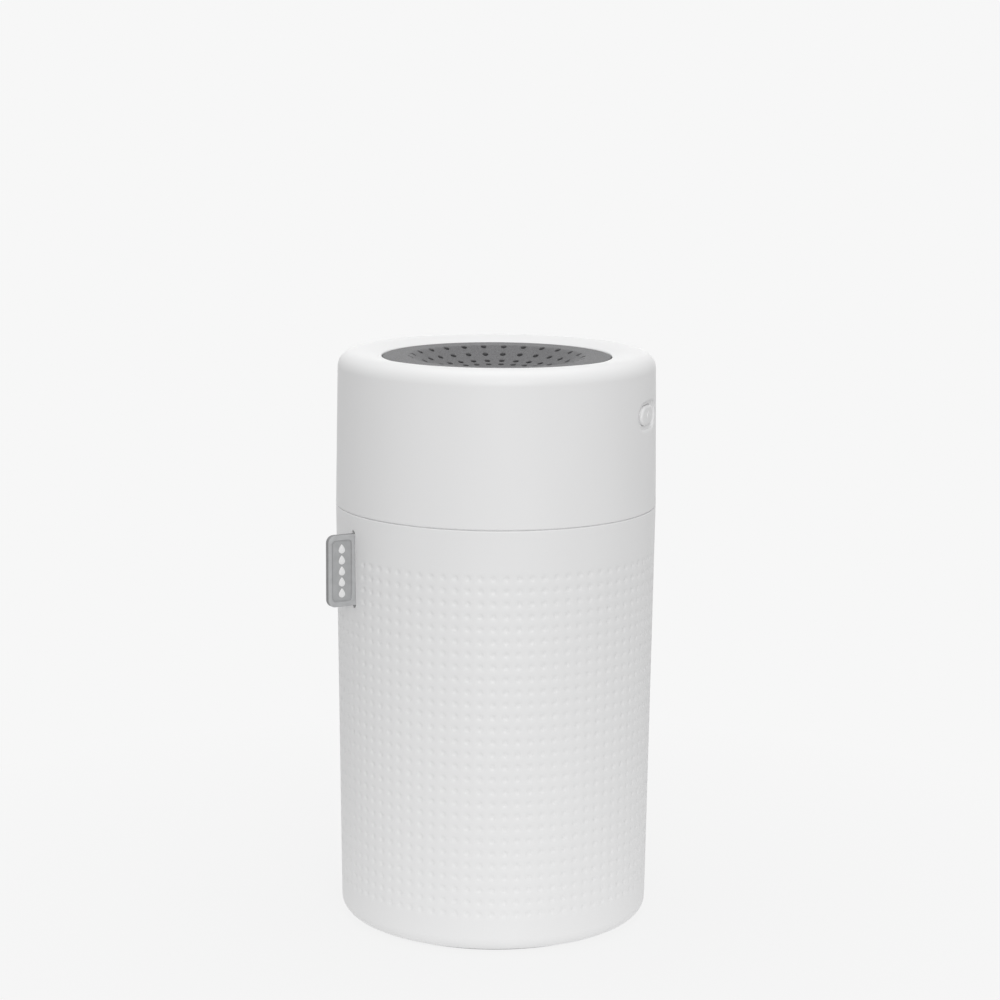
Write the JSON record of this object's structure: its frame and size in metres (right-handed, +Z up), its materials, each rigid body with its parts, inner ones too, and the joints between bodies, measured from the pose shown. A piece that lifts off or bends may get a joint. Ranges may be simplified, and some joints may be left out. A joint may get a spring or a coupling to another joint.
{
  "type": "cool mist humidifier",
  "caption": "Cylindrical tabletop cool mist humidifier: plain lift-off head with a dished perforated outlet and a side button, over a dimpled water tank with a pull tag.",
  "frame": {"origin": "centre of the face that it stands on, on the centre line of the tank", "axes": "+Z up along the centre line, -Y is the front, the pull tag is at the left front (-X) and the button faces right (+X); the charging socket is at the back (+Y)"},
  "size_m": [0.0915, 0.09, 0.1616],
  "materials": {
    "white_shell": "satin moulded white",
    "natural_plastic": "semi-matt natural white",
    "dark_rubber": "soft matt",
    "pale_rubber": "soft matt",
    "tag_grey": "soft-touch matt",
    "mark_white": "matt",
    "grille_grey": "satin metallic grey",
    "smoked_plastic": "smoked, lets the lights glow through",
    "led_yellow": "glossy",
    "steel": "bright",
    "wick_fibre": "fibrous",
    "ceramic": "fired ceramic",
    "board_white": "solder mask",
    "board_green": "solder mask",
    "black_plastic": "matt",
    "copper_wire": "enamelled",
    "socket_ivory": "matt",
    "foil": "laminated foil",
    "lead_red": "satin",
    "lead_yellow": "satin",
    "lead_grey": "satin"
  },
  "bodies": {
    "tank": {"outer_sleeve": "white_shell", "tank_cup": "natural_plastic", "base_pad": "dark_rubber", "side_tag": "tag_grey", "tag_marks": "mark_white"},
    "head": {"head_shell": "white_shell", "grille": "grille_grey", "light_diffuser": "smoked_plastic", "nozzle_ring": "grille_grey", "head_base": "natural_plastic", "tank_seal": "dark_rubber", "wick_tube": "natural_plastic", "tube_seal": "dark_rubber", "wick_cap": "natural_plastic", "wick_spring": "steel", "wick": "wick_fibre", "atomizer_gasket": "pale_rubber", "atomizer_plate": "steel", "piezo_ring": "ceramic", "atomizer_clamp": "natural_plastic", "clamp_screws": "steel", "led_board": "board_white", "leds": "led_yellow", "led_screws": "steel", "main_board": "board_green", "board_screws": "steel", "control_chips": "black_plastic", "driver_coil": "copper_wire", "wire_sockets": "socket_ivory", "usb_socket": "steel", "usb_tongue": "black_plastic", "battery": "foil", "battery_leads": "lead_red", "atomizer_leads": "lead_yellow", "signal_leads": "lead_grey", "button_board": "board_green", "tact_switch": "black_plastic", "base_screws": "steel"},
    "button": {"power_button": "white_shell", "switch_plunger": "black_plastic"}
  },
  "joints": [
    {"name": "head_lift", "type": "slide", "parent": "tank", "child": "head", "axis": [0, 0, 1], "range_m": [0, 0.125]},
    {"name": "button_press", "type": "slide", "parent": "head", "child": "button", "axis": [-0.9397, 0.342, 0], "range_m": [0, 0.0005], "stiffness_N_per_m": 2000}
  ]
}
